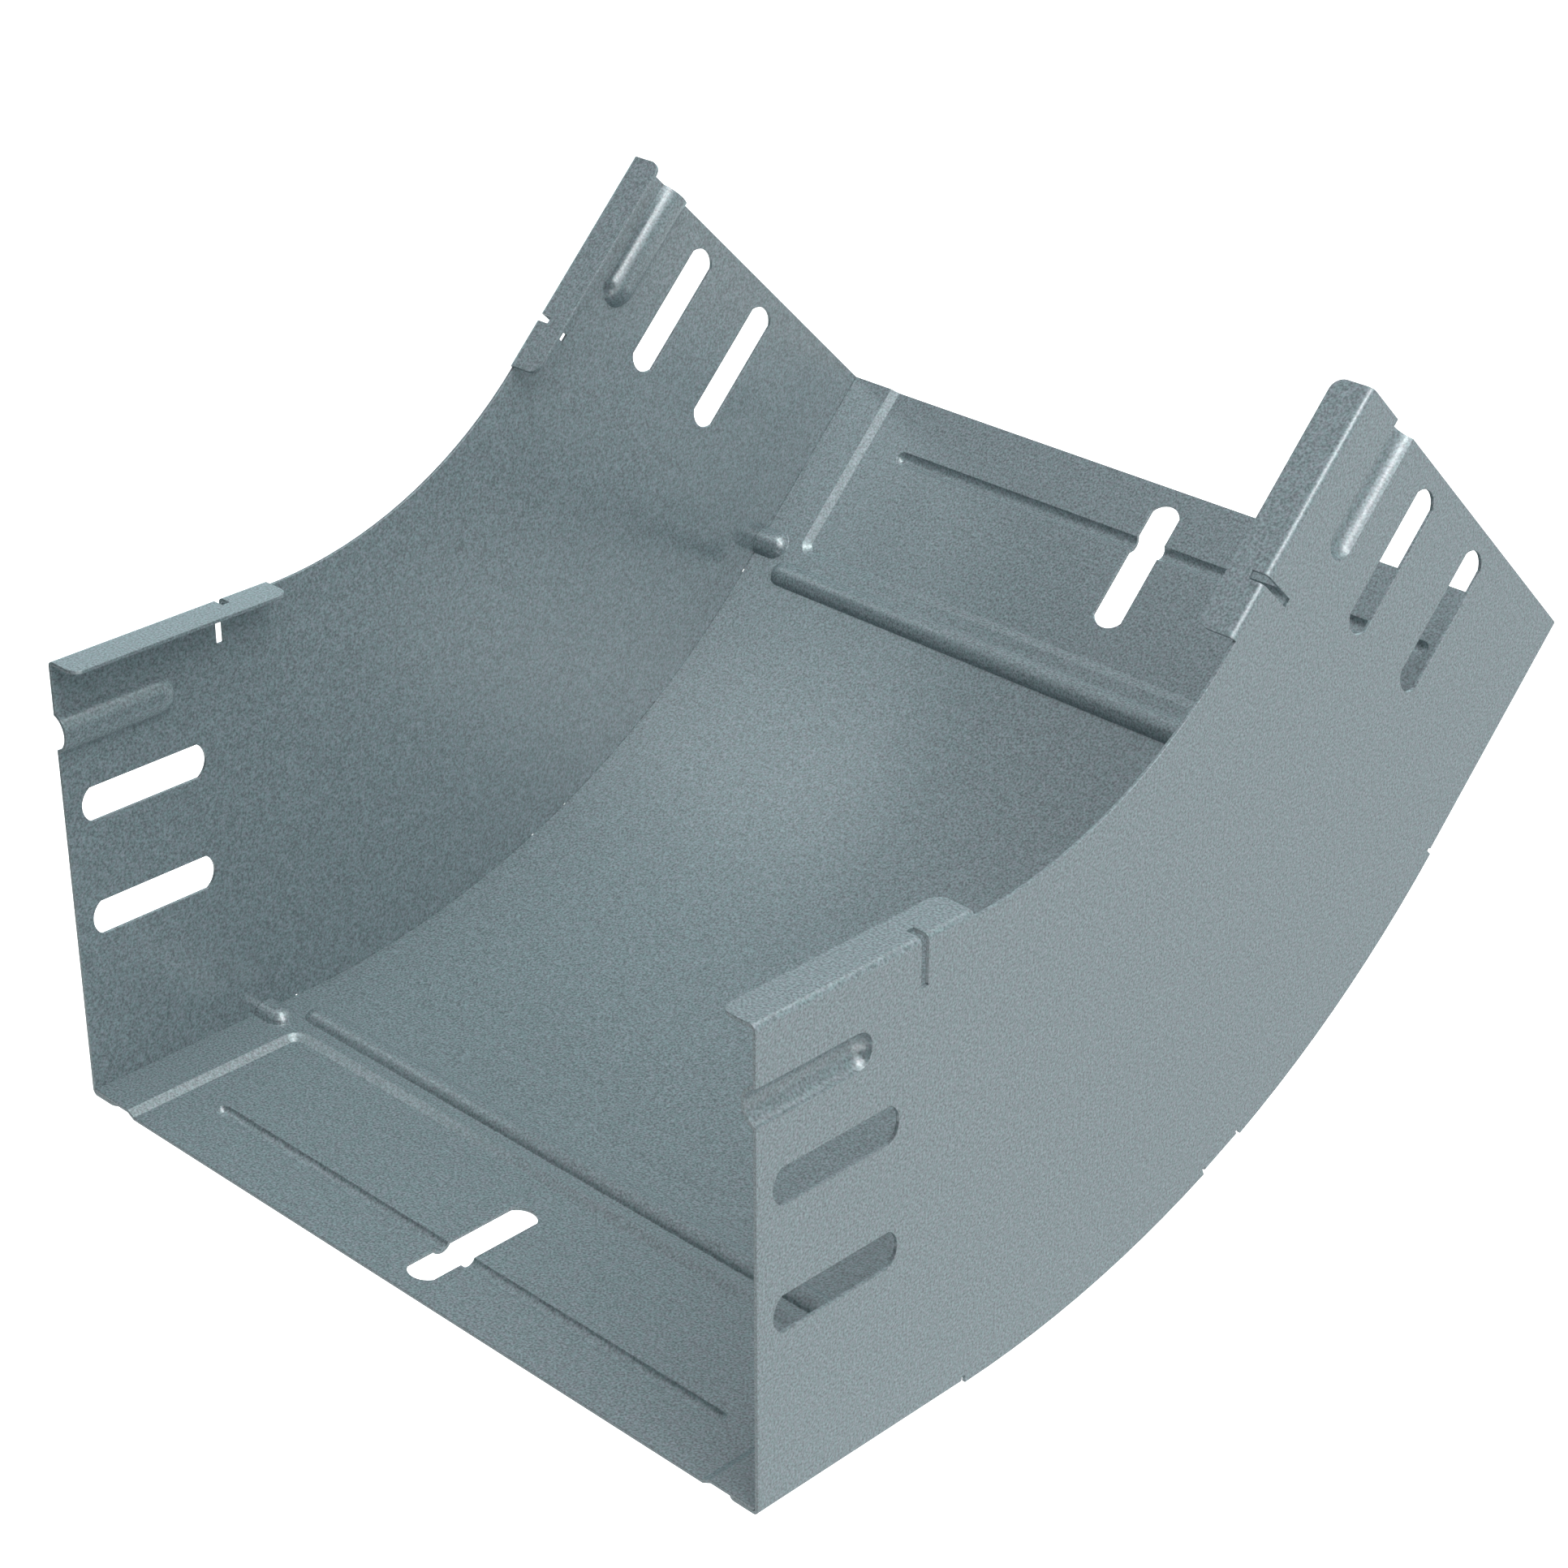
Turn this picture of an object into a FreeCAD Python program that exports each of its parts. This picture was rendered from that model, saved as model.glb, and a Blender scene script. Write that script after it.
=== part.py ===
import FreeCAD, Part
import math
import os
import Sketcher

Vector = FreeCAD.Vector
Rotation = FreeCAD.Rotation
Placement = FreeCAD.Placement

doc = FreeCAD.newDocument("cable_tray_bend")

# Sizes, in millimetres and degrees.
# The frame has x across the tray, y along the near straight and z up.
# The origin is the middle of the near end, level with the underside of the bottom flanges.
sheet = doc.addObject("Spreadsheet::Sheet", "Sizes")
sizes = [
    ("tray_width", 214.8, "over the outer faces of the side walls"),
    ("side_height", 110.0, "from the bottom flange to the top flange"),
    ("straight_length", 58.3, "flat end on either side of the curve"),
    ("bend_radius", 216.4, "curve of the walls' bottom edge"),
    ("bend_angle", 45.0, "turn between the two ends"),
    ("sheet_thickness", 0.8, "all three pieces"),
    ("fold_radius", 0.6, "inner radius of every fold"),
    ("flange_width", 9.5, "top and bottom flanges, over the wall"),
    ("flange_corner", 3.0, "rounding of the flanges' free corners"),
    ("relief_width", 1.0, "notch beside a bottom flange or tab"),
    ("relief_height", 1.8, "top of that notch"),
    ("tab_width", 10.9, "folded tab in the middle of the curve"),
    ("slit_start", 43.75, "slit through the top fold, from the end"),
    ("slit_width", 2.0, "slit through the top fold"),
    ("slit_depth", 10.85, "slit down the wall from the top"),
    ("slit_reach", 4.1, "slit into the top flange from the outer face"),
    ("slot_length", 34.0, "coupling slots in walls and floor"),
    ("slot_width", 8.5, "coupling slots in walls and floor"),
    ("slot_end_radius", 5.0, "bowed ends of the slots"),
    ("slot_start", 4.3, "first end of a slot, from the tray's end"),
    ("lower_slot_height", 44.05, "middle of the wall's lower slot"),
    ("upper_slot_height", 72.65, "middle of the wall's upper slot"),
    ("bead_height", 92.55, "middle of the wall's bead"),
    ("bead_radius", 4.4, "hollow side of the bead"),
    ("bead_depth", 3.15, "how far the bead is pressed in"),
    ("bead_length", 26.5, "straight part of the bead"),
    ("floor_side_gap", 0.04, "between the floor's edge and each wall"),
    ("recess_margin", 15.45, "from the outside of the tray to the foot of the recess's slope"),
    ("recess_foot_end", 46.95, "inner end of the recess at its foot"),
    ("recess_foot_corner", 2.0, "corner of the recess at its foot"),
    ("recess_slope_run", 2.25, "width of the slope round the recess"),
    ("recess_drop", 1.15, "depth of the recess"),
    ("groove_middle", 16.1, "middle of the groove, from the end"),
    ("groove_radius", 2.03, "hollow side of the groove"),
    ("groove_depth", 1.25, "depth of the groove below the recess"),
    ("groove_margin", 11.85, "from the foot of the recess's slope to the groove's dome"),
    ("rib_middle", 55.85, "middle of the cross rib, from the end"),
    ("rib_radius", 3.73, "crest of the cross rib"),
    ("rib_rise", 2.2, "height of the cross rib above the floor"),
    ("rib_margin", 12.8, "from the outside of the tray to the cross rib's dome"),
    ("corner_rib_middle", 49.5, "middle of a corner rib, from the end"),
    ("corner_rib_radius", 4.15, "crest of a corner rib"),
    ("corner_rib_rise", 2.6, "height of a corner rib above the floor"),
    ("corner_rib_margin", 5.9, "from the outside of the tray to the corner rib's dome"),
    ("overrun", 2.0, "how far a cutting form runs past the sheet"),
]
for row, (alias, value, meaning) in enumerate(sizes, start=1):
    sheet.set("A%d" % row, alias)
    sheet.set("B%d" % row, str(value))
    sheet.setAlias("B%d" % row, alias)
    sheet.set("C%d" % row, meaning)
doc.recompute()

# Sizes that follow from the others
outer_face = "Sizes.tray_width / 2"
inner_face = "(Sizes.tray_width / 2 - Sizes.sheet_thickness)"
plain_height = "(Sizes.side_height - Sizes.sheet_thickness - Sizes.fold_radius)"
floor_half = "(%s - Sizes.floor_side_gap)" % inner_face
half_angle = "Sizes.bend_angle / 2"
slot_middle = "Sizes.slot_start + Sizes.slot_length / 2"
recess_under = "(Sizes.sheet_thickness - Sizes.recess_drop)"
recess_half = "(Sizes.tray_width / 2 - Sizes.recess_margin)"
groove_half = "(%s - Sizes.groove_margin)" % recess_half
rib_half = "(Sizes.tray_width / 2 - Sizes.rib_margin)"
corner_rib_start = "(Sizes.tray_width / 2 - Sizes.corner_rib_margin)"

ALONG_X = Rotation(Vector(0, 1, 0), 90)
AGAINST_X = Rotation(Vector(0, 1, 0), -90)
ALONG_Y = Rotation(Vector(1, 0, 0), -90)
IN_WALL = Rotation(0.5, 0.5, 0.5, 0.5)
IN_FLOOR = Rotation(Vector(0, 0, 1), 90)


def size(alias):
    return float(sheet.get(alias))


def bind(item, links):
    for name, expression in links.items():
        item.setExpression(name, expression)
    return item


def place(item, x="0", y="0", z="0"):
    for axis, expression in (("x", x), ("y", y), ("z", z)):
        if expression != "0":
            item.setExpression("Placement.Base." + axis, expression)
    return item


def block(name, length, width, height, x="0", y="0", z="0"):
    item = doc.addObject("Part::Box", name)
    bind(item, {"Length": length, "Width": width, "Height": height})
    return place(item, x, y, z)


def rod(name, radius, length, turn, x="0", y="0", z="0", sweep=None):
    item = doc.addObject("Part::Cylinder", name)
    item.Placement = Placement(Vector(), turn)
    bind(item, {"Radius": radius, "Height": length})
    if sweep:
        item.setExpression("Angle", sweep)
    return place(item, x, y, z)


def ball(name, radius, turn, x="0", y="0", z="0"):
    item = doc.addObject("Part::Sphere", name)
    item.Placement = Placement(Vector(), turn)
    item.setExpression("Radius", radius)
    return place(item, x, y, z)


def combine(kind, name, base, tool):
    item = doc.addObject("Part::" + kind, name)
    item.Base = base
    item.Tool = tool
    return item


def fuse(name, parts, refine=False):
    item = doc.addObject("Part::MultiFuse", name)
    item.Shapes = parts
    item.Refine = refine
    return item


def mirror_across(name, source):
    # mirror image on the other side of the tray's middle plane
    item = doc.addObject("Part::Mirroring", name)
    item.Source = source
    item.Normal = Vector(1, 0, 0)
    return item


def mirror_along(name, source):
    # mirror image about the plane through the middle of the bend
    item = doc.addObject("Part::Mirroring", name)
    item.Source = source
    item.Normal = Vector(0, 1, 0)
    bind(item, {
        "Base.y": "Sizes.straight_length",
        "Base.z": "Sizes.bend_radius",
        "Normal.y": "cos(%s)" % half_angle,
        "Normal.z": "sin(%s)" % half_angle,
    })
    return item


def ease_edges(kind, name, base, radius_of):
    # fillet or chamfer the edges for which radius_of gives a size
    doc.recompute()
    item = doc.addObject("Part::" + kind, name)
    item.Base = base
    found = []
    for number, edge in enumerate(base.Shape.Edges, start=1):
        radius = radius_of(edge.BoundBox)
        if radius:
            found.append((number, radius, radius))
    item.Edges = found
    return item


def ring(name, width, x, y, z, outer, inner):
    # half of the curve: a slice of a ring about the bend's centre line
    full = rod(name + "_disc", outer, width, ALONG_X, x, y, z, half_angle)
    core = rod(name + "_core", inner, width, ALONG_X, x, y, z, half_angle)
    return combine("Cut", name, full, core)


def slot_form(name, turn, depth, x="0", y="0", z="0"):
    # a slot with parallel sides and bowed ends, drawn about its middle
    outline = doc.addObject("Sketcher::SketchObject", name + "_outline")
    half = size("slot_width") / 2
    reach = size("slot_length") / 2
    corner = reach - size("slot_end_radius") + math.sqrt(size("slot_end_radius")**2 - half**2)
    for side in (1, -1):
        outline.addGeometry(Part.LineSegment(Vector(-corner, side * half, 0),
                                             Vector(corner, side * half, 0)))
    for side in (1, -1):
        outline.addGeometry(Part.Arc(Vector(side * corner, -side * half, 0),
                                     Vector(side * reach, 0, 0),
                                     Vector(side * corner, side * half, 0)))
    add = outline.addConstraint
    add(Sketcher.Constraint("Coincident", 0, 2, 2, 2))
    add(Sketcher.Constraint("Coincident", 1, 2, 2, 1))
    add(Sketcher.Constraint("Coincident", 0, 1, 3, 1))
    add(Sketcher.Constraint("Coincident", 1, 1, 3, 2))
    add(Sketcher.Constraint("Symmetric", 0, 1, 0, 2, -2))
    add(Sketcher.Constraint("Symmetric", 0, 2, 1, 2, -1))
    add(Sketcher.Constraint("Symmetric", 0, 1, 1, 1, -1))
    spread = size("slot_length") - 2 * size("slot_end_radius")
    driven = [
        ("width", Sketcher.Constraint("DistanceY", 1, 2, 0, 2, 2 * half), "Sizes.slot_width"),
        ("first", Sketcher.Constraint("Radius", 2, size("slot_end_radius")),
         "Sizes.slot_end_radius"),
        ("second", Sketcher.Constraint("Radius", 3, size("slot_end_radius")),
         "Sizes.slot_end_radius"),
        ("spread", Sketcher.Constraint("DistanceX", 3, 3, 2, 3, spread),
         "Sizes.slot_length - 2 * Sizes.slot_end_radius"),
    ]
    drive(outline, driven)
    outline.Placement = Placement(Vector(), turn)
    place(outline, x, y, z)
    item = doc.addObject("Part::Extrusion", name)
    item.Base = outline
    item.DirMode = "Normal"
    item.Solid = True
    return bind(item, {"LengthFwd": depth, "LengthRev": depth})


def drive(outline, driven):
    for label, constraint, expression in driven:
        outline.renameConstraint(outline.addConstraint(constraint), label)
        outline.setExpression("Constraints." + label, expression)


def tray_outline(name, half, end, corner, start, height):
    # a rectangle whose two inner corners are rounded, level at one height
    outline = doc.addObject("Sketcher::SketchObject", name)
    outline.addGeometry(Part.LineSegment(Vector(-50, 0, 0), Vector(50, 0, 0)))
    outline.addGeometry(Part.LineSegment(Vector(50, 0, 0), Vector(50, 40, 0)))
    circle = Part.Circle(Vector(45, 40, 0), Vector(0, 0, 1), 5)
    outline.addGeometry(Part.ArcOfCircle(circle, 0, math.pi / 2))
    outline.addGeometry(Part.LineSegment(Vector(45, 45, 0), Vector(-45, 45, 0)))
    circle = Part.Circle(Vector(-45, 40, 0), Vector(0, 0, 1), 5)
    outline.addGeometry(Part.ArcOfCircle(circle, math.pi / 2, math.pi))
    outline.addGeometry(Part.LineSegment(Vector(-50, 40, 0), Vector(-50, 0, 0)))
    add = outline.addConstraint
    add(Sketcher.Constraint("Coincident", 0, 2, 1, 1))
    add(Sketcher.Constraint("Coincident", 5, 2, 0, 1))
    for line in range(1, 5):
        add(Sketcher.Constraint("Tangent", line, 2, line + 1, 1))
    add(Sketcher.Constraint("Symmetric", 0, 1, 0, 2, -1, 1))
    add(Sketcher.Constraint("Horizontal", 0))
    add(Sketcher.Constraint("Vertical", 1))
    add(Sketcher.Constraint("Horizontal", 3))
    add(Sketcher.Constraint("Vertical", 5))
    add(Sketcher.Constraint("Equal", 2, 4))
    drive(outline, [
        ("width", Sketcher.Constraint("DistanceX", 0, 1, 0, 2, 100), "2 * (%s)" % half),
        ("corner", Sketcher.Constraint("Radius", 2, 5), corner),
        ("end", Sketcher.Constraint("DistanceY", 0, 2, 3, 1, 45), "%s - %s" % (end, start)),
    ])
    return place(outline, "0", start, height)


def recess_form(name, grow, start, floor_level, climb):
    # sloping sides joined from the foot outline to a wider one above it
    ends = []
    for label, rise in (("_foot", "0"), ("_rim", climb)):
        run = "%s + %s * Sizes.recess_slope_run" % (grow, rise)
        ends.append(tray_outline(name + label,
                                 recess_half + " + " + run,
                                 "Sizes.recess_foot_end + " + run,
                                 "Sizes.recess_foot_corner + " + run,
                                 start,
                                 "%s + %s * Sizes.recess_drop" % (floor_level, rise)))
    item = doc.addObject("Part::Loft", name)
    item.Sections = ends
    item.Solid = True
    item.Ruled = True
    return item


def rounded_rod(name, radius, half, dome_turn, y, z):
    # a rod across the tray with a dome at each end
    return fuse(name, [
        rod(name + "_rod", radius, "2 * " + half, ALONG_X, "-" + half, y, z),
        ball(name + "_dome_right", radius, dome_turn, half, y, z),
        ball(name + "_dome_left", radius, dome_turn, "-" + half, y, z),
    ])


# Right side wall, near straight: a folded channel with a flange above and below
wall_block = block("wall_block", "Sizes.flange_width", "Sizes.straight_length",
                   "Sizes.side_height", outer_face + " - Sizes.flange_width")
outside = size("tray_width") / 2 - 0.01
inside = outside - size("sheet_thickness")
free_edge = size("tray_width") / 2 - size("flange_width") + 0.01


def channel_outside(box):
    if box.YLength > 1 and box.XMin > outside:
        return size("sheet_thickness") + size("fold_radius")
    if box.ZLength > 1 and box.XMax < free_edge:
        return size("flange_corner")
    return 0


def channel_inside(box):
    if box.YLength > 1 and box.XMin > inside:
        return size("fold_radius")
    return 0


wall_outside = ease_edges("Fillet", "wall_outside", wall_block, channel_outside)
wall_core = block("wall_core", "Sizes.flange_width",
                  "Sizes.straight_length + 2 * Sizes.overrun",
                  "Sizes.side_height - 2 * Sizes.sheet_thickness",
                  inner_face + " - Sizes.flange_width", "-Sizes.overrun",
                  "Sizes.sheet_thickness")
wall_inside = ease_edges("Fillet", "wall_inside", wall_core, channel_inside)
wall_channel = combine("Cut", "wall_channel", wall_outside, wall_inside)

# Bead pressed into the wall from the outside, open at the end
bead_axis = outer_face + " + Sizes.bead_radius - Sizes.bead_depth"
bead_skin = "Sizes.bead_radius + Sizes.sheet_thickness"
bead_round = fuse("bead_round", [
    rod("bead_round_rod", bead_skin, "Sizes.bead_length", ALONG_Y,
        bead_axis, "0", "Sizes.bead_height"),
    ball("bead_round_dome", bead_skin, ALONG_Y, bead_axis, "Sizes.bead_length", "Sizes.bead_height"),
])
bead_room = block("bead_room", "2 * Sizes.bead_radius", "2 * Sizes.bead_length",
                  "4 * Sizes.bead_radius",
                  outer_face + " - Sizes.sheet_thickness / 2 - 2 * Sizes.bead_radius",
                  "0", "Sizes.bead_height - 2 * Sizes.bead_radius")
bead_skin_form = combine("Common", "bead_skin_form", bead_round, bead_room)
bead_hollow = fuse("bead_hollow", [
    rod("bead_hollow_rod", "Sizes.bead_radius", "Sizes.bead_length + Sizes.overrun", ALONG_Y,
        bead_axis, "-Sizes.overrun", "Sizes.bead_height"),
    ball("bead_hollow_dome", "Sizes.bead_radius", ALONG_Y, bead_axis, "Sizes.bead_length",
         "Sizes.bead_height"),
])

# Slots and slit of the wall
wall_slots = []
for level in ("lower", "upper"):
    wall_slots.append(slot_form("wall_%s_slot" % level, IN_WALL, "Sizes.overrun",
                                outer_face, slot_middle, "Sizes.%s_slot_height" % level))
slit = block("slit", "Sizes.slit_reach + Sizes.overrun", "Sizes.slit_width",
             "Sizes.slit_depth + Sizes.overrun", outer_face + " - Sizes.slit_reach",
             "Sizes.slit_start", "Sizes.side_height - Sizes.slit_depth")

wall_raised = fuse("wall_raised", [wall_channel, bead_skin_form])
wall_openings = fuse("wall_openings", [bead_hollow] + wall_slots + [slit])
wall_near = combine("Cut", "wall_near", wall_raised, wall_openings)
wall_far = mirror_along("wall_far", wall_near)

# Curve of the wall, drawn about the bend's centre with the middle of the curve downwards
curve_plate = ring("curve_plate", "Sizes.sheet_thickness", inner_face, "0", "0",
                   "Sizes.bend_radius", "Sizes.bend_radius - " + plain_height)
tab_room = block("tab_room", "3 * Sizes.sheet_thickness",
                 "Sizes.tab_width / 2 + Sizes.relief_width + Sizes.overrun",
                 "Sizes.relief_height + Sizes.overrun",
                 inner_face + " - Sizes.sheet_thickness", "-Sizes.overrun",
                 "-Sizes.bend_radius - Sizes.overrun")
tab_block = block("tab_block", "Sizes.flange_width", "Sizes.tab_width / 2",
                  "2 * Sizes.relief_height", outer_face + " - Sizes.flange_width", "0",
                  "-Sizes.bend_radius")
tab_low = 0.01 - size("bend_radius")


def tab_outside(box):
    if box.YLength > 1 and box.XMin > outside and box.ZMax < tab_low:
        return size("sheet_thickness") + size("fold_radius")
    if box.ZLength > 1 and box.XMax < free_edge and box.YMin > 1:
        return size("flange_corner")
    return 0


def tab_inside(box):
    if box.YLength > 1 and box.XMin > inside and box.ZMax < tab_low + size("sheet_thickness"):
        return size("fold_radius")
    return 0


tab_rounded = ease_edges("Fillet", "tab_rounded", tab_block, tab_outside)
tab_core = block("tab_core", "Sizes.flange_width", "Sizes.tab_width", "Sizes.side_height",
                 inner_face + " - Sizes.flange_width", "-Sizes.overrun",
                 "Sizes.sheet_thickness - Sizes.bend_radius")
tab_hollow = ease_edges("Fillet", "tab_hollow", tab_core, tab_inside)
tab = combine("Cut", "tab", tab_rounded, tab_hollow)
curve_opened = combine("Cut", "curve_opened", curve_plate, tab_room)
curve_half = fuse("curve_half", [curve_opened, tab])
curve_other_half = doc.addObject("Part::Mirroring", "curve_other_half")
curve_other_half.Source = curve_half
curve_other_half.Normal = Vector(0, 1, 0)
wall_curve = fuse("wall_curve", [curve_half, curve_other_half], refine=True)
wall_curve.Placement = Placement(Vector(), Rotation(Vector(1, 0, 0), size("bend_angle") / 2))
bind(wall_curve, {"Placement.Rotation.Angle": half_angle})
place(wall_curve, "0", "Sizes.straight_length", "Sizes.bend_radius")

# Relief notches where the bottom flanges stop
notch_near = block("notch_near", "3 * Sizes.sheet_thickness", "Sizes.relief_width",
                   "Sizes.relief_height + Sizes.overrun",
                   inner_face + " - Sizes.sheet_thickness", "Sizes.straight_length",
                   "-Sizes.overrun")
notch_far = mirror_along("notch_far", notch_near)
notches = fuse("notches", [notch_near, notch_far])
wall_joined = fuse("wall_joined", [wall_near, wall_curve, wall_far], refine=True)
right_wall = combine("Cut", "right_wall", wall_joined, notches)
left_wall = mirror_across("left_wall", right_wall)

# Floor plate, near half
floor_straight = block("floor_straight", "2 * " + floor_half, "Sizes.straight_length",
                       "Sizes.sheet_thickness", "-" + floor_half, "0",
                       "Sizes.sheet_thickness")
floor_curve = ring("floor_curve", "2 * " + floor_half, "-" + floor_half,
                   "Sizes.straight_length", "Sizes.bend_radius",
                   "Sizes.bend_radius - Sizes.sheet_thickness",
                   "Sizes.bend_radius - 2 * Sizes.sheet_thickness")
floor_flat = fuse("floor_flat", [floor_straight, floor_curve], refine=True)
side_edge = inside - size("floor_side_gap")


def floor_lower_edges(box):
    beside = box.XMin > side_edge or box.XMax < -side_edge
    middle_depth = size("bend_radius") - math.hypot(
        box.YMax - size("straight_length"), size("bend_radius") - box.ZMax)
    on_straight = box.YMax < size("straight_length") + 0.01
    level = box.ZMax if on_straight else middle_depth
    if beside and box.YLength > 1 and level < 1.5 * size("sheet_thickness"):
        return size("fold_radius")
    return 0


floor_blank = ease_edges("Chamfer", "floor_blank", floor_flat, floor_lower_edges)

# Recess between the strips, open at the tray's end
slope_shift = ("Sizes.sheet_thickness * tan("
               "atan(Sizes.recess_drop / Sizes.recess_slope_run) / 2)")
recess_body = recess_form("recess_body", slope_shift, "-Sizes.overrun", recess_under, "1.3")
recess_room = block("recess_room", "Sizes.tray_width", "2 * Sizes.recess_foot_end",
                    "4 * Sizes.sheet_thickness", "-Sizes.tray_width / 2", "0",
                    recess_under)
recess_skin = combine("Common", "recess_skin", recess_body, recess_room)
recess_hollow = recess_form("recess_hollow", "0", "-Sizes.overrun",
                            "%s + Sizes.sheet_thickness" % recess_under, "1.4")

# Groove pressed down in the recess
groove_level = recess_under + " + Sizes.sheet_thickness + Sizes.groove_radius - Sizes.groove_depth"
groove_round = rounded_rod("groove_round", "Sizes.groove_radius + Sizes.sheet_thickness",
                           groove_half, AGAINST_X, "Sizes.groove_middle",
                           groove_level)
groove_room = block("groove_room", "4 * " + groove_half, "8 * Sizes.groove_radius",
                    "4 * Sizes.groove_radius", "-2 * " + groove_half,
                    "Sizes.groove_middle - 4 * Sizes.groove_radius",
                    recess_under + " + Sizes.sheet_thickness / 2 - 4 * Sizes.groove_radius")
groove_skin = combine("Common", "groove_skin", groove_round, groove_room)
groove_hollow = rounded_rod("groove_hollow", "Sizes.groove_radius", groove_half,
                            AGAINST_X, "Sizes.groove_middle", groove_level)

# Cross rib pressed up behind the recess
rib_level = "2 * Sizes.sheet_thickness + Sizes.rib_rise - Sizes.rib_radius"
rib_round = rounded_rod("rib_round", "Sizes.rib_radius", rib_half, ALONG_X,
                        "Sizes.rib_middle", rib_level)
rib_room = block("rib_room", "4 * " + rib_half, "8 * Sizes.rib_radius",
                 "4 * Sizes.rib_radius", "-2 * " + rib_half,
                 "Sizes.rib_middle - 4 * Sizes.rib_radius", "1.5 * Sizes.sheet_thickness")
rib_skin = combine("Common", "rib_skin", rib_round, rib_room)
rib_hollow = rounded_rod("rib_hollow", "Sizes.rib_radius - Sizes.sheet_thickness",
                         rib_half, ALONG_X, "Sizes.rib_middle", rib_level)

# Corner ribs running out at the floor's side edges
corner_level = "2 * Sizes.sheet_thickness + Sizes.corner_rib_rise - Sizes.corner_rib_radius"
corner_span = floor_half + " - " + corner_rib_start
corner_round = fuse("corner_round", [
    rod("corner_round_rod", "Sizes.corner_rib_radius", corner_span, ALONG_X,
        corner_rib_start, "Sizes.corner_rib_middle", corner_level),
    ball("corner_round_dome", "Sizes.corner_rib_radius", ALONG_X, corner_rib_start,
         "Sizes.corner_rib_middle", corner_level),
])
corner_room = block("corner_room", "8 * Sizes.corner_rib_radius",
                    "4 * Sizes.corner_rib_radius", "4 * Sizes.corner_rib_radius",
                    floor_half + " - 8 * Sizes.corner_rib_radius",
                    "Sizes.corner_rib_middle - 2 * Sizes.corner_rib_radius",
                    "1.5 * Sizes.sheet_thickness")
corner_skin = combine("Common", "corner_skin", corner_round, corner_room)
corner_inner = "Sizes.corner_rib_radius - Sizes.sheet_thickness"
corner_hollow = fuse("corner_hollow", [
    rod("corner_hollow_rod", corner_inner, corner_span + " + Sizes.overrun", ALONG_X,
        corner_rib_start, "Sizes.corner_rib_middle", corner_level),
    ball("corner_hollow_dome", corner_inner, ALONG_X, corner_rib_start,
         "Sizes.corner_rib_middle", corner_level),
])
corner_skin_left = mirror_across("corner_skin_left", corner_skin)
corner_hollow_left = mirror_across("corner_hollow_left", corner_hollow)

# Slot in the middle of the floor
floor_slot = slot_form("floor_slot", IN_FLOOR, "3 * Sizes.overrun", "0", slot_middle)

floor_raised = fuse("floor_raised", [floor_blank, recess_skin, groove_skin, rib_skin,
                                     corner_skin, corner_skin_left])
floor_openings = fuse("floor_openings", [recess_hollow, groove_hollow, rib_hollow,
                                         corner_hollow, corner_hollow_left, floor_slot])
floor_near = combine("Cut", "floor_near", floor_raised, floor_openings)
floor_far = mirror_along("floor_far", floor_near)
floor = fuse("floor", [floor_near, floor_far], refine=True)

pieces = {"floor_plate": floor, "right_side_wall": right_wall, "left_side_wall": left_wall}
for name, piece in pieces.items():
    piece.Label = name
doc.recompute()

for item in doc.Objects:
    if "Invalid" in item.State or "Error" in item.State:
        raise RuntimeError("%s did not build" % item.Label)
for name, piece in pieces.items():
    shape = piece.Shape
    if shape.isNull() or not shape.isValid() or len(shape.Solids) != 1:
        raise RuntimeError("%s is not one valid solid" % name)

os.makedirs("parts", exist_ok=True)
for name, piece in pieces.items():
    piece.Shape.exportStep("parts/%s.step" % name)
    print(name, round(piece.Shape.Volume, 1), len(piece.Shape.Faces), piece.Shape.BoundBox)
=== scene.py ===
import math

import bpy
from mathutils import Matrix, Vector

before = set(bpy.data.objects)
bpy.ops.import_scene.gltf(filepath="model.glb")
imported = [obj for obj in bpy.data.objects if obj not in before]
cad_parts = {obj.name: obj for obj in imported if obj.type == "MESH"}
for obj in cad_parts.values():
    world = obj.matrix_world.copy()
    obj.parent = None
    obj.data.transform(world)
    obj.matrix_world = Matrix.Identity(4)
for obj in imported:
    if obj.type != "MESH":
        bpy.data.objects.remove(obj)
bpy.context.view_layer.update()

scene = bpy.context.scene

# Galvanised sheet
ZINC = (0.245, 0.303, 0.322)
ZINC_DARK = 0.58
ZINC_PALE = 1.42
TEAL_TINT = (0.95, 1.015, 1.00)
RED_TINT = (1.05, 0.975, 1.01)
METAL_SHARE = 0.15
SHEEN_INDEX = 2.15
ROUGHNESS = 0.25
GRAIN_SCALE = 1900.0
GRAIN_DETAIL = 2.0
GRAIN_RANGE = (0.3, 0.7)
GRAIN_RELIEF = 0.00003
PATCH_SCALE = 700.0
PATCH_DETAIL = 1.0
PATCH_RANGE = (0.35, 0.65)
PATCH_DARK = (0.96, 0.96, 0.96)
PATCH_PALE = (1.04, 1.04, 1.04)
TINT_SCALE = 1100.0
TINT_DETAIL = 1.0
TINT_RANGE = (0.4, 0.62)
EDGE_ROUNDING = 0.0003
EDGE_SAMPLES = 4

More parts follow.
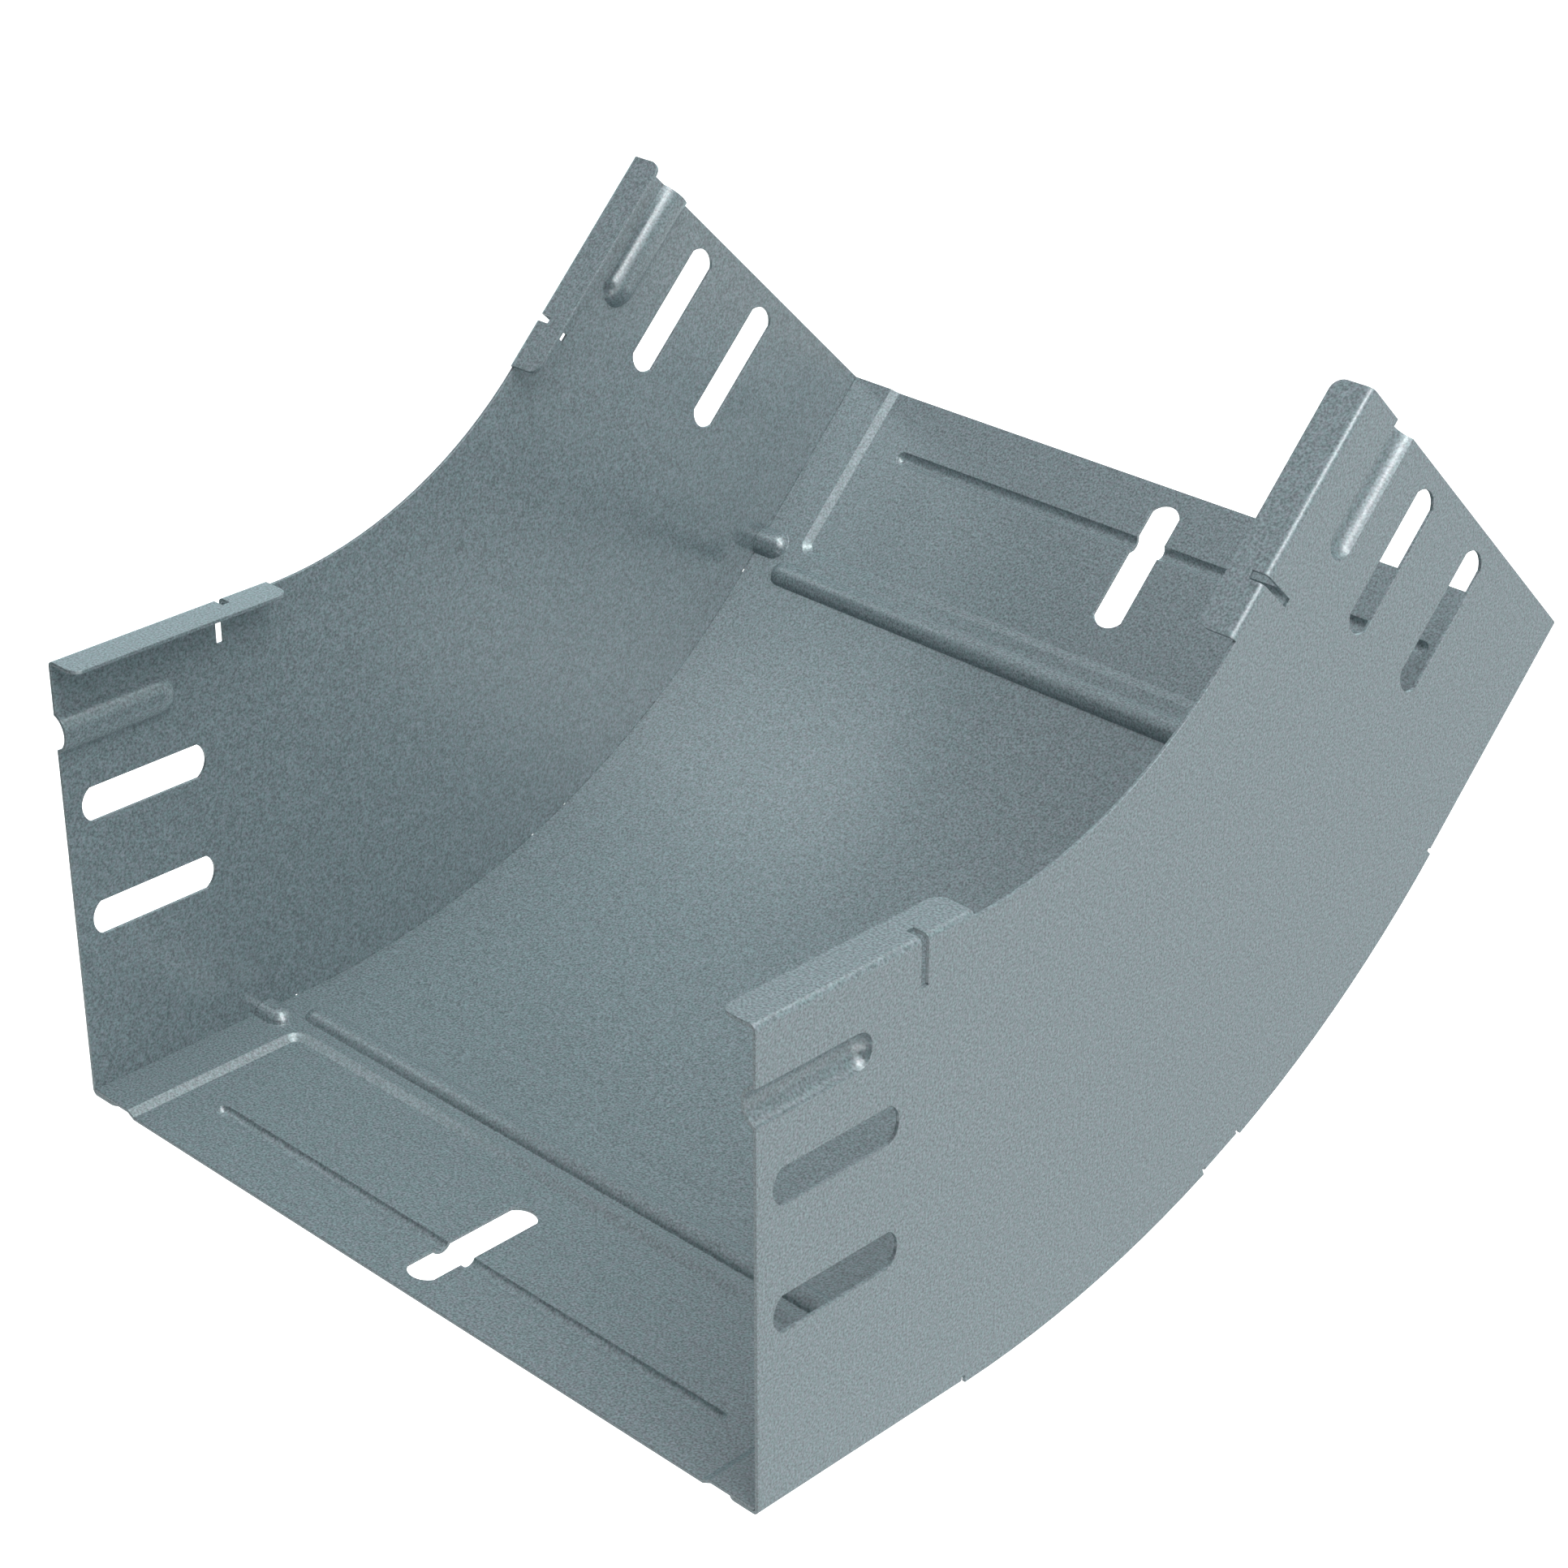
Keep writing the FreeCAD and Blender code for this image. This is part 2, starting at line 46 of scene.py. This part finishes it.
# Studio round the object. Each panel has its light and its patches of a sphere round the object's
# middle, as lowest and highest elevation and first and last azimuth, in degrees.
MIDDLE = (0, 0.126, 0.09)
PANEL_DISTANCE = 1.25
PANEL_STEP = 6.0
FLOOR_HEIGHT = -1.3
FLOOR_HALF = 15.0
FLOOR_COLOUR = 0.8
WORLD_LEVEL = 1.0
DIMMEST = 0.001
PANELS = {
    "front_card": (
        (0.0, 0.0, 0.0),
        [(-25, 0, 210, 300), (0, 25, 210, 330), (25, 41.5, 240, 324), (41.5, 50, 240, 300)],
    ),
    "side_card": ((0.40, 0.48, 0.48), [(0, 50, 0, 90)]),
    "right_fill": ((0.69, 0.72, 0.73), [(-38, 0, 0, 80)]),
    "back_fill": ((0.90, 1.16, 1.20), [(-25, 25, 90, 210)]),
    "back_card": ((0.28, 0.27, 0.29), [(25, 50, 90, 240), (50, 72, 135, 285)]),
    "under_card": ((0.77, 0.83, 0.84), [(-90, -38, 0, 360), (-38, -25, 80, 360)]),
    "key_softbox": ((6.4, 6.2, 6.2), [(44, 78, 332, 356)]),
    "key_side": ((3.1, 3.0, 3.0), [(41.5, 52, 300, 332)]),
    "key_edge": (
        (1.80, 1.90, 1.95),
        [(25, 41.5, 324, 360), (41.5, 44, 332, 360), (52, 64, 300, 332), (44, 64, 356, 360),
         (50, 64, 285, 300), (50, 64, 0, 45), (64, 72, 285, 332), (64, 72, 356, 405)],
    ),
    "top_softbox": ((2.30, 2.95, 2.83), [(78, 81, 0, 360), (72, 78, -4, 332)]),
    "top_core": ((5.7, 5.7, 5.7), [(81, 90, 0, 360)]),
}

# Camera, fitted to the picture: its place and its axes
CAMERA_PLACE = (0.493838, -0.385200, 0.443876)
CAMERA_RIGHT = (0.712799, 0.701368, -0.000669)
CAMERA_DOWN = (0.324500, -0.330634, -0.886217)
CAMERA_AHEAD = (-0.621786, 0.631477, -0.463270)
CAMERA_LENS = 82.4775
SENSOR = 36.0
NEAR_CLIP = 0.01
FAR_CLIP = 50


def node(tree, kind, **values):
    item = tree.nodes.new(kind)
    for name, value in values.items():
        setattr(item, name, value)
    return item


def noise(tree, coords, scale, detail):
    item = node(tree, "ShaderNodeTexNoise")
    item.inputs["Scale"].default_value = scale
    item.inputs["Detail"].default_value = detail
    tree.links.new(coords, item.inputs["Vector"])
    return item.outputs["Fac"]


def spread(tree, value, span):
    item = node(tree, "ShaderNodeMapRange")
    tree.links.new(value, item.inputs["Value"])
    item.inputs["From Min"].default_value, item.inputs["From Max"].default_value = span
    return item.outputs["Result"]


def mixed(tree, share, first, second, blend="MIX"):
    item = node(tree, "ShaderNodeMix", data_type="RGBA", blend_type=blend)
    for value, socket in ((share, item.inputs[0]), (first, item.inputs[6]), (second, item.inputs[7])):
        if isinstance(value, bpy.types.NodeSocket):
            tree.links.new(value, socket)
        else:
            socket.default_value = value
    return item.outputs[2]


def galvanised():
    material = bpy.data.materials.new("galvanised_sheet")
    material.use_nodes = True
    tree = material.node_tree
    tree.nodes.clear()
    out = node(tree, "ShaderNodeOutputMaterial")
    shader = node(tree, "ShaderNodeBsdfPrincipled")
    shader.inputs["Metallic"].default_value = METAL_SHARE
    shader.inputs["Roughness"].default_value = ROUGHNESS
    shader.inputs["IOR"].default_value = SHEEN_INDEX
    coords = node(tree, "ShaderNodeTexCoord").outputs["Object"]
    grain = noise(tree, coords, GRAIN_SCALE, GRAIN_DETAIL)
    patch = noise(tree, coords, PATCH_SCALE, PATCH_DETAIL)
    tint = noise(tree, coords, TINT_SCALE, TINT_DETAIL)
    dark = [v * ZINC_DARK for v in ZINC]
    pale = [v * ZINC_PALE for v in ZINC]
    speckle = mixed(tree, spread(tree, grain, GRAIN_RANGE), (*dark, 1), (*pale, 1))
    cloud = mixed(tree, spread(tree, patch, PATCH_RANGE), (*PATCH_DARK, 1), (*PATCH_PALE, 1))
    hue = mixed(tree, spread(tree, tint, TINT_RANGE), (*TEAL_TINT, 1), (*RED_TINT, 1))
    clouded = mixed(tree, 1.0, speckle, cloud, "MULTIPLY")
    colour = mixed(tree, 1.0, clouded, hue, "MULTIPLY")
    tree.links.new(colour, shader.inputs["Base Color"])
    edge = node(tree, "ShaderNodeBevel", samples=EDGE_SAMPLES)
    edge.inputs["Radius"].default_value = EDGE_ROUNDING
    relief = node(tree, "ShaderNodeBump")
    relief.inputs["Strength"].default_value = 1.0
    relief.inputs["Distance"].default_value = GRAIN_RELIEF
    tree.links.new(grain, relief.inputs["Height"])
    tree.links.new(edge.outputs["Normal"], relief.inputs["Normal"])
    tree.links.new(relief.outputs["Normal"], shader.inputs["Normal"])
    tree.links.new(shader.outputs["BSDF"], out.inputs["Surface"])
    return material


steel = galvanised()
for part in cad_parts.values():
    for piece_slot in part.material_slots:
        piece_slot.material = steel

# White surroundings
world = bpy.data.worlds.new("studio")
scene.world = world
world.use_nodes = True
world.node_tree.nodes.clear()
world_out = node(world.node_tree, "ShaderNodeOutputWorld")
white = node(world.node_tree, "ShaderNodeBackground")
white.inputs["Color"].default_value = (1, 1, 1, 1)
white.inputs["Strength"].default_value = WORLD_LEVEL
world.node_tree.links.new(white.outputs["Background"], world_out.inputs["Surface"])


def direction(elevation, azimuth):
    up = math.radians(elevation)
    round_z = math.radians(azimuth)
    return Vector((math.cos(up) * math.cos(round_z), math.cos(up) * math.sin(round_z), math.sin(up)))


def panel(name, level, spans):
    points = []
    faces = []
    for low, high, start, end in spans:
        rows = math.ceil((high - low) / PANEL_STEP)
        columns = math.ceil((end - start) / PANEL_STEP)
        first = len(points)
        for row in range(rows + 1):
            for column in range(columns + 1):
                elevation = low + (high - low) * row / rows
                azimuth = start + (end - start) * column / columns
                points.append(Vector(MIDDLE) + PANEL_DISTANCE * direction(elevation, azimuth))
        for row in range(rows):
            for column in range(columns):
                corner = first + row * (columns + 1) + column
                faces.append((corner, corner + 1, corner + columns + 2, corner + columns + 1))
    mesh = bpy.data.meshes.new(name)
    mesh.from_pydata(points, [], faces)
    material = bpy.data.materials.new(name)
    material.use_nodes = True
    material.node_tree.nodes.clear()
    out = node(material.node_tree, "ShaderNodeOutputMaterial")
    glow = node(material.node_tree, "ShaderNodeEmission")
    strength = max(*level, DIMMEST)
    glow.inputs["Color"].default_value = (*(v / strength for v in level), 1)
    glow.inputs["Strength"].default_value = strength
    material.node_tree.links.new(glow.outputs["Emission"], out.inputs["Surface"])
    mesh.materials.append(material)
    piece = bpy.data.objects.new(name, mesh)
    scene.collection.objects.link(piece)
    piece.visible_camera = False


for name, (level, spans) in PANELS.items():
    panel(name, level, spans)


def pale_floor():
    corners = [(-1, -1), (1, -1), (1, 1), (-1, 1)]
    points = [(x * FLOOR_HALF, y * FLOOR_HALF, FLOOR_HEIGHT) for x, y in corners]
    mesh = bpy.data.meshes.new("floor")
    mesh.from_pydata(points, [], [(0, 1, 2, 3)])
    material = bpy.data.materials.new("floor")
    material.use_nodes = True
    tree = material.node_tree
    tree.nodes.clear()
    out = node(tree, "ShaderNodeOutputMaterial")
    matt = node(tree, "ShaderNodeBsdfDiffuse")
    matt.inputs["Color"].default_value = (FLOOR_COLOUR, FLOOR_COLOUR, FLOOR_COLOUR, 1)
    lift = node(tree, "ShaderNodeEmission")
    rays = node(tree, "ShaderNodeLightPath")
    mirrored = node(tree, "ShaderNodeMath", operation="MAXIMUM")
    seen = node(tree, "ShaderNodeMath", operation="MAXIMUM")
    both = node(tree, "ShaderNodeAddShader")
    tree.links.new(rays.outputs["Is Glossy Ray"], mirrored.inputs[0])
    tree.links.new(rays.outputs["Is Transmission Ray"], mirrored.inputs[1])
    tree.links.new(rays.outputs["Is Camera Ray"], seen.inputs[0])
    tree.links.new(mirrored.outputs["Value"], seen.inputs[1])
    tree.links.new(seen.outputs["Value"], lift.inputs["Strength"])
    tree.links.new(matt.outputs["BSDF"], both.inputs[0])
    tree.links.new(lift.outputs["Emission"], both.inputs[1])
    tree.links.new(both.outputs["Shader"], out.inputs["Surface"])
    mesh.materials.append(material)
    piece = bpy.data.objects.new("floor", mesh)
    scene.collection.objects.link(piece)


pale_floor()

# Camera
camera_data = bpy.data.cameras.new("camera")
camera = bpy.data.objects.new("camera", camera_data)
scene.collection.objects.link(camera)
right, down, ahead = (Vector(v) for v in (CAMERA_RIGHT, CAMERA_DOWN, CAMERA_AHEAD))
turn = Matrix((right, -down, -ahead)).transposed()
camera.matrix_world = Matrix.Translation(CAMERA_PLACE) @ turn.to_4x4()
camera_data.sensor_fit = "HORIZONTAL"
camera_data.sensor_width = SENSOR
camera_data.lens = CAMERA_LENS
camera_data.clip_start = NEAR_CLIP
camera_data.clip_end = FAR_CLIP
camera_data.dof.use_dof = False
scene.camera = camera

scene.view_settings.view_transform = "Standard"
